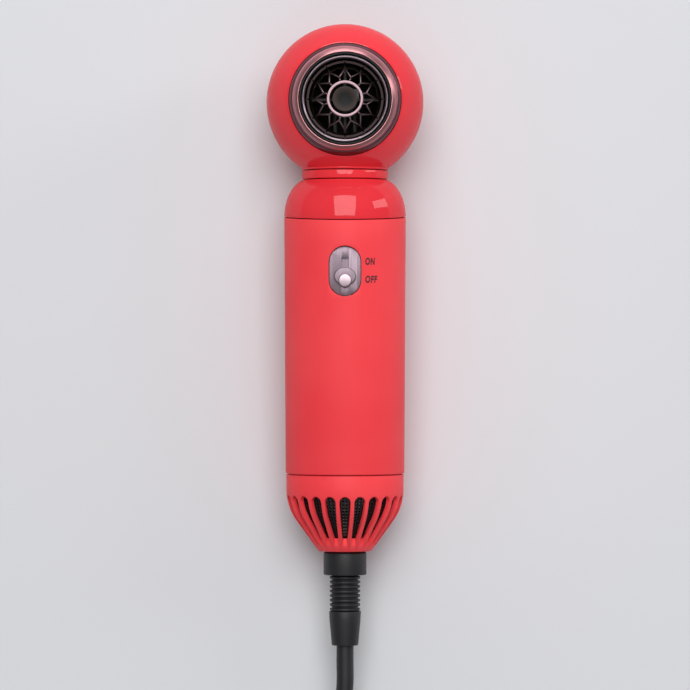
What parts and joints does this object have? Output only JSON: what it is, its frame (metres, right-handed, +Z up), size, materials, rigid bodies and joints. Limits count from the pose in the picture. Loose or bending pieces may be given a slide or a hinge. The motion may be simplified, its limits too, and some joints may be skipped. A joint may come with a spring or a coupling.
{
  "type": "pet dryer",
  "caption": "Slim handheld pet dryer: round head with a petal grille, straight handle with a slide switch, slotted air intake at the tail, mains lead with plug.",
  "frame": {"origin": "middle of the dryer's footprint on the table that it lies on, with the lead left out", "axes": "+Z up, nearly the way the outlet faces; +Y along the handle from the tail to the head; +X to the right seen from the outlet side"},
  "size_m": [0.0752, 0.4739, 0.0611],
  "materials": {
    "red_lacquer": "satin lacquer over moulded plastic",
    "rose_bronze": "rose bronze plating",
    "bright_metal": "bright plating",
    "brushed_plate": "brushed lengthways",
    "black_plastic": "fine moulded grain",
    "black_rubber": "matt",
    "filter_mesh": "fine perforated mesh",
    "mica": "layered mica sheet",
    "steel": "turned or drawn steel",
    "heating_wire": "nickel chrome wire",
    "copper": "enamelled copper",
    "magnet": "sintered",
    "board_laminate": "solder mask",
    "component_sleeve": "shrunk sleeve",
    "heat_sink_aluminium": "extruded",
    "red_wire": "wire insulation",
    "white_wire": "glass fibre sleeve",
    "plated_blades": "nickel plated",
    "tie_plastic": "moulded"
  },
  "bodies": {
    "housing": {"head_front_shell": "red_lacquer", "head_rear_shell": "red_lacquer", "neck_ring": "red_lacquer", "shoulder_cap": "red_lacquer", "handle_tube": "red_lacquer", "intake_cap": "red_lacquer", "nozzle_collar": "rose_bronze", "outlet_grille": "rose_bronze", "bezel_ring": "bright_metal", "switch_plate": "brushed_plate", "nozzle_rim": "black_plastic", "grille_hub": "black_plastic", "head_joining_band": "black_plastic", "heater_holder": "black_plastic", "neck_sleeve": "black_plastic", "neck_nut": "black_plastic", "joining_ring": "black_plastic", "switch_body": "black_plastic", "fan_housing": "black_plastic", "motor_end_cap": "black_plastic", "board_frame": "black_plastic", "strain_relief": "black_rubber", "fan_damper_lower": "black_rubber", "fan_damper_upper": "black_rubber", "power_cord": "black_rubber", "cord_coil": "black_rubber", "cord_end": "black_rubber", "plug_body": "black_rubber", "mains_lead_live": "black_rubber", "mains_lead_neutral": "black_rubber", "intake_filter": "filter_mesh", "heater_sleeve": "mica", "mica_frame": "mica", "heater_screw_1": "steel", "heater_screw_2": "steel", "heater_screw_3": "steel", "thermostat": "steel", "thermal_fuse": "steel", "motor_can": "steel", "motor_bearing_lower": "steel", "motor_bearing_upper": "steel", "heating_coil": "heating_wire", "motor_stator": "copper", "circuit_board": "board_laminate", "capacitor": "component_sleeve", "choke": "component_sleeve", "heat_sink": "heat_sink_aluminium", "motor_lead": "red_wire", "heater_lead_live": "white_wire", "heater_lead_return": "white_wire", "plug_blade_left": "plated_blades", "plug_blade_right": "plated_blades", "cord_tie": "tie_plastic"},
    "switch": {"switch_slider": "bright_metal", "switch_lever": "black_plastic", "slot_shutter": "brushed_plate"},
    "rotor": {"impeller": "black_plastic", "motor_shaft": "steel", "motor_magnet": "magnet"}
  },
  "joints": [
    {"name": "switch_slide", "type": "slide", "parent": "housing", "child": "switch", "axis": [0, 0.9987, 0.0513], "range_m": [0, 0.0075]},
    {"name": "fan_spin", "type": "hinge", "parent": "housing", "child": "rotor", "pos_m": [0, -0.0448, 0.02476], "axis": [0, 0.9987, 0.0513], "continuous": true}
  ]
}
